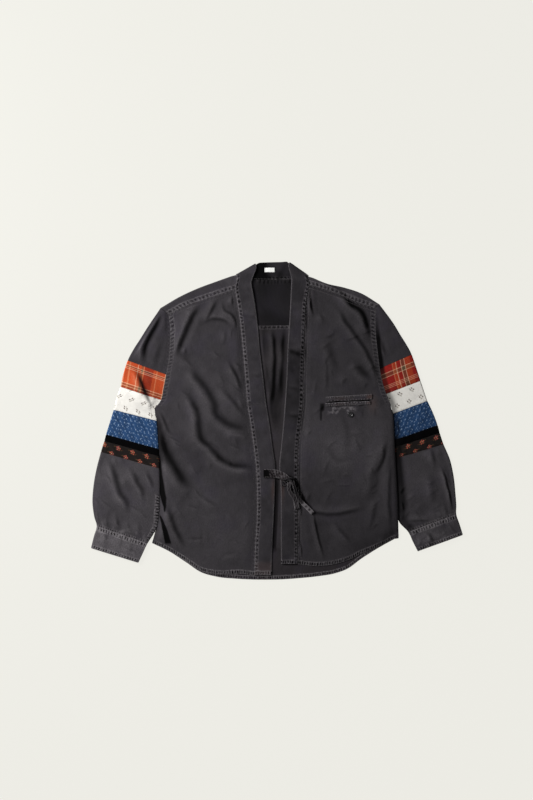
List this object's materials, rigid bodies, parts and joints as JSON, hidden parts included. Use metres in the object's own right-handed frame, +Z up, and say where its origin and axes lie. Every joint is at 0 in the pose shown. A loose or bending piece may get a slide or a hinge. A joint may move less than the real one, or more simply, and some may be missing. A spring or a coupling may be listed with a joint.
{
  "type": "kimono-style denim shirt jacket with patchwork sleeve bands",
  "caption": "Open-front kimono-style shirt jacket of washed charcoal denim with patchwork bands in the sleeves, laid flat and tied over the opening.",
  "frame": {"origin": "on the surface that the jacket lies on, in the middle of its length and width", "axes": "+X across the sleeves towards the right-hand one as seen from above, +Y towards the neck, +Z up off the surface"},
  "size_m": [0.873, 0.7467, 0.0114],
  "materials": {
    "denim": "washed charcoal denim, worn pale along seams and hems",
    "plaid": "orange and dark red plaid cotton with cream lines",
    "white_calico": "off-white calico with small grey-brown sprigs",
    "blue_calico": "mid-blue calico with small pale leaves",
    "velvet": "black velvet ribbon",
    "dark_floral": "near-black cotton with coral flowers",
    "tie_tape": "charcoal denim tape with worn pale edges",
    "label": "blank white woven tape",
    "button": "dark four-hole button"
  },
  "bodies": {
    "root": {"back_panel": "denim", "yoke": "denim", "front_left": "denim", "front_right": "denim", "neck_band_foot": "denim", "neck_band": "denim", "sleeve_top_left": "denim", "sleeve_lower_left": "denim", "cuff_left": "denim", "sleeve_top_right": "denim", "sleeve_lower_right": "denim", "cuff_right": "denim", "pocket_upper_lip": "denim", "pocket_lower_lip": "denim", "plaid_band_left": "plaid", "white_band_left": "white_calico", "blue_band_left": "blue_calico", "ribbon_band_left": "velvet", "dark_band_left": "dark_floral", "plaid_band_right": "plaid", "white_band_right": "white_calico", "blue_band_right": "blue_calico", "ribbon_band_right": "velvet", "dark_band_right": "dark_floral", "tie_left": "tie_tape", "tie_right": "tie_tape", "neck_label": "label", "pocket_button": "button"}
  },
  "joints": []
}
